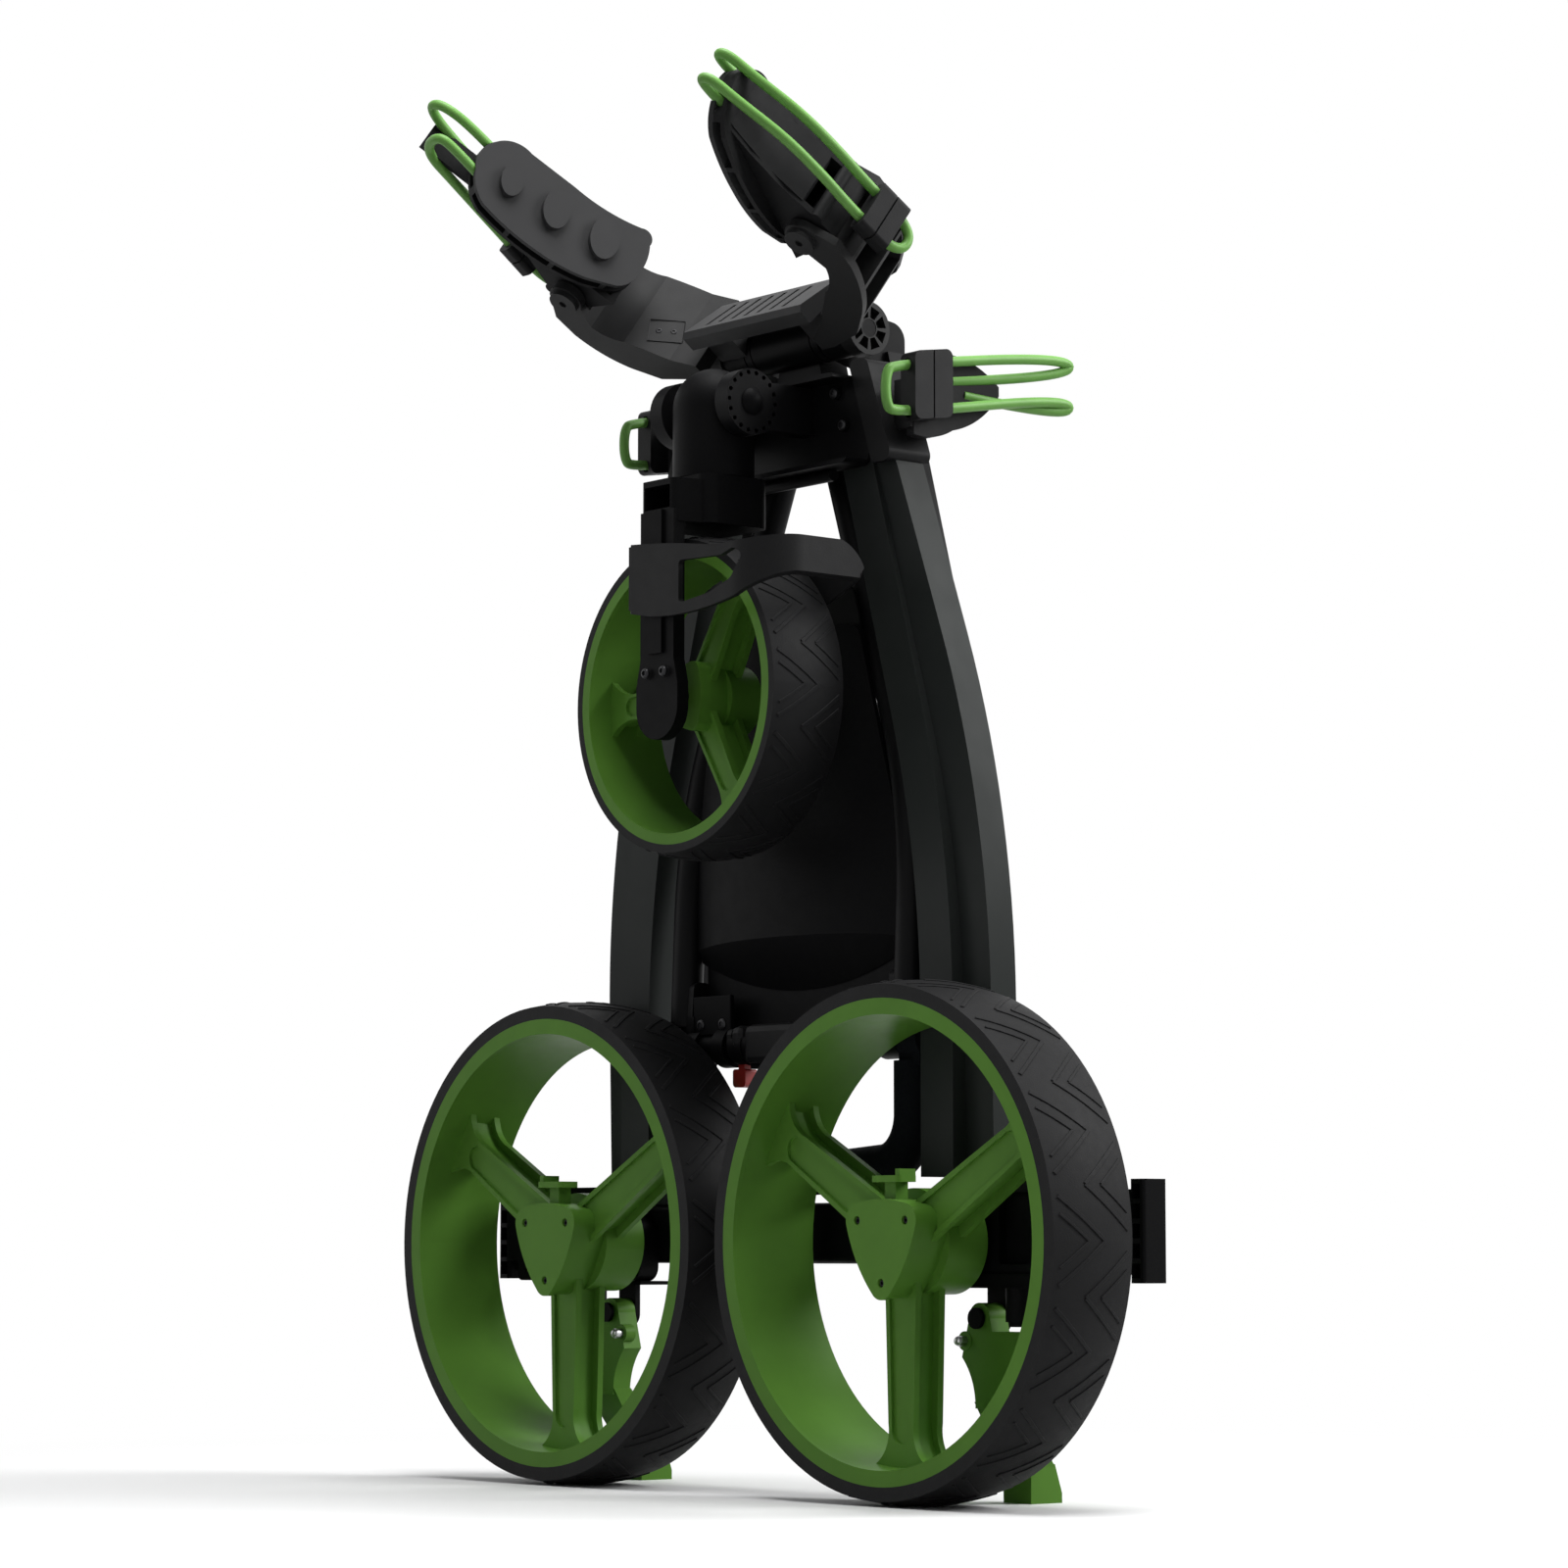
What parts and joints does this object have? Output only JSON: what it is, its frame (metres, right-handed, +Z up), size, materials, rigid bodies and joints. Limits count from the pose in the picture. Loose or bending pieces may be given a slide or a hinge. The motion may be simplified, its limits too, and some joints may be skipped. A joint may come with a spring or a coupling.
{
  "type": "golf push cart",
  "caption": "Folding three-wheel golf push cart, folded flat and standing on its rear wheels and stand levers, with bag cradles and elastic straps",
  "frame": {"origin": "On the floor at the middle of the folded cart's footprint, straps left out of the measure", "axes": "+X across the cart to its right-hand wheel, +Y from the wheels' open faces to the back of the folded pack, +Z up along the folded pack"},
  "size_m": [0.6592, 0.3209, 0.9103],
  "materials": {
    "tyre": "matte black foam tyre with a shallow moulded tread",
    "green_plastic": "satin green moulded plastic",
    "grey_paint": "dark grey satin powder coat",
    "black_paint": "black satin powder coat",
    "black_plastic": "black moulded plastic with a fine grain",
    "grey_plastic": "dark grey moulded plastic with a fine grain",
    "light_plastic": "mid grey soft-touch moulded rubber",
    "foam": "dense black foam grip",
    "steel": "brushed steel",
    "elastic": "light green elastic cord",
    "red_plastic": "red moulded plastic"
  },
  "bodies": {
    "lower_frame": {"blade_right": "grey_paint", "blade_left": "grey_paint", "axle_beam": "black_paint", "arm_bracket_right": "black_paint", "arm_bracket_left": "black_paint", "top_plate": "black_paint", "collar_right": "grey_plastic", "collar_left": "grey_plastic", "lower_bag_arm_right": "grey_plastic", "lower_bag_arm_left": "grey_plastic", "strap_lower_right": "elastic", "strap_lower_left": "elastic", "slider_lower_right": "grey_plastic", "slider_lower_left": "grey_plastic"},
    "fork_head": {"fork_head": "black_plastic"},
    "fork": {"fork": "black_plastic", "mudguard": "black_plastic"},
    "tracking_knob": {"tracking_knob": "black_plastic"},
    "front_wheel": {"front_rim": "green_plastic", "front_tyre": "tyre"},
    "upright": {"upright_right": "black_paint", "upright_left": "black_paint", "barrel_pin": "black_paint", "cradle_base": "light_plastic", "cradle_arm_right": "grey_plastic", "cradle_arm_left": "grey_plastic"},
    "handle": {"handle_frame": "black_paint", "console": "grey_plastic", "crossbar": "black_plastic"},
    "latch_tab": {"latch_tab": "red_plastic"},
    "grip": {"handle_grip": "foam"},
    "wheel_arm_right": {"wheel_arm_right": "black_plastic", "arm_end_cap_right": "black_plastic", "rear_axle_right": "steel"},
    "wheel_right": {"rear_rim_right": "green_plastic", "rear_tyre_right": "tyre", "hub_cap_right": "green_plastic"},
    "release_tab_right": {"release_tab_right": "green_plastic"},
    "lever_right": {"stand_lever_right": "green_plastic", "lever_stud_right": "steel"},
    "jaw_right": {"cradle_jaw_right": "light_plastic", "strap_upper_right": "elastic", "slider_upper_right": "grey_plastic"},
    "wheel_arm_left": {"wheel_arm_left": "black_plastic", "arm_end_cap_left": "black_plastic", "rear_axle_left": "steel"},
    "wheel_left": {"rear_rim_left": "green_plastic", "rear_tyre_left": "tyre", "hub_cap_left": "green_plastic"},
    "release_tab_left": {"release_tab_left": "green_plastic"},
    "lever_left": {"stand_lever_left": "green_plastic", "lever_stud_left": "steel"},
    "jaw_left": {"cradle_jaw_left": "light_plastic", "strap_upper_left": "elastic", "slider_upper_left": "grey_plastic"}
  },
  "joints": [
    {"name": "wheel_arm_swing_right", "type": "hinge", "parent": "lower_frame", "child": "wheel_arm_right", "pos_m": [0.298, 0.0801, 0.165], "axis": [0, 0, 1], "range_deg": [0, 90]},
    {"name": "wheel_spin_right", "type": "hinge", "parent": "wheel_arm_right", "child": "wheel_right", "pos_m": [0.1696, 0.0166, 0.16], "axis": [0, 1, 0], "continuous": true},
    {"name": "release_tab_press_right", "type": "slide", "parent": "wheel_right", "child": "release_tab_right", "axis": [0, 0, -1], "range_m": [0, 0.004], "stiffness_N_per_m": 400},
    {"name": "stand_lever_swing_right", "type": "hinge", "parent": "wheel_arm_right", "child": "lever_right", "pos_m": [0.185, 0.0616, 0.113], "axis": [0, 1, 0], "range_deg": [0, 25]},
    {"name": "jaw_tilt_right", "type": "hinge", "parent": "upright", "child": "jaw_right", "pos_m": [0.122, -0.0142, 0.8096], "axis": [0, 0.6, 0.8], "range_deg": [0, 12]},
    {"name": "wheel_arm_swing_left", "type": "hinge", "parent": "lower_frame", "child": "wheel_arm_left", "pos_m": [-0.298, 0.0801, 0.165], "axis": [0, 0, -1], "range_deg": [0, 90]},
    {"name": "wheel_spin_left", "type": "hinge", "parent": "wheel_arm_left", "child": "wheel_left", "pos_m": [-0.1696, 0.0166, 0.16], "axis": [0, 1, 0], "continuous": true},
    {"name": "release_tab_press_left", "type": "slide", "parent": "wheel_left", "child": "release_tab_left", "axis": [0, 0, -1], "range_m": [0, 0.004], "stiffness_N_per_m": 400},
    {"name": "stand_lever_swing_left", "type": "hinge", "parent": "wheel_arm_left", "child": "lever_left", "pos_m": [-0.185, 0.0616, 0.113], "axis": [0, -1, 0], "range_deg": [0, 25]},
    {"name": "jaw_tilt_left", "type": "hinge", "parent": "upright", "child": "jaw_left", "pos_m": [-0.122, -0.0142, 0.8096], "axis": [0, -0.6, -0.8], "range_deg": [0, 12]},
    {"name": "fork_fold", "type": "hinge", "parent": "lower_frame", "child": "fork_head", "pos_m": [0, -0.0044, 0.697], "axis": [-1, 0, 0], "range_deg": [0, 148]},
    {"name": "fork_turn", "type": "hinge", "parent": "fork_head", "child": "fork", "pos_m": [0, -0.0044, 0.64], "axis": [0, 0, 1], "range_deg": [0, 90]},
    {"name": "tracking_knob_turn", "type": "hinge", "parent": "fork", "child": "tracking_knob", "pos_m": [0, -0.0249, 0.6345], "axis": [1, 0, 0], "range_deg": [-60, 60]},
    {"name": "front_wheel_spin", "type": "hinge", "parent": "fork", "child": "front_wheel", "pos_m": [0, -0.0089, 0.5076], "axis": [0, 1, 0], "continuous": true},
    {"name": "upright_fold", "type": "hinge", "parent": "lower_frame", "child": "upright", "pos_m": [0, 0.0996, 0.176], "axis": [-1, 0, 0], "range_deg": [0, 115]},
    {"name": "handle_fold", "type": "hinge", "parent": "upright", "child": "handle", "pos_m": [0, 0.0666, 0.749], "axis": [1, 0, 0], "range_deg": [0, 132]},
    {"name": "handle_angle", "type": "hinge", "parent": "handle", "child": "grip", "pos_m": [0, 0.0656, 0.288], "axis": [1, 0, 0], "range_deg": [0, 45]},
    {"name": "latch_tab_slide", "type": "slide", "parent": "handle", "child": "latch_tab", "axis": [1, 0, 0], "range_m": [0, 0.006], "stiffness_N_per_m": 300}
  ],
  "couplings": [
    {"joint": "fork_turn", "follows": "fork_fold", "ratio": 0.608}
  ]
}
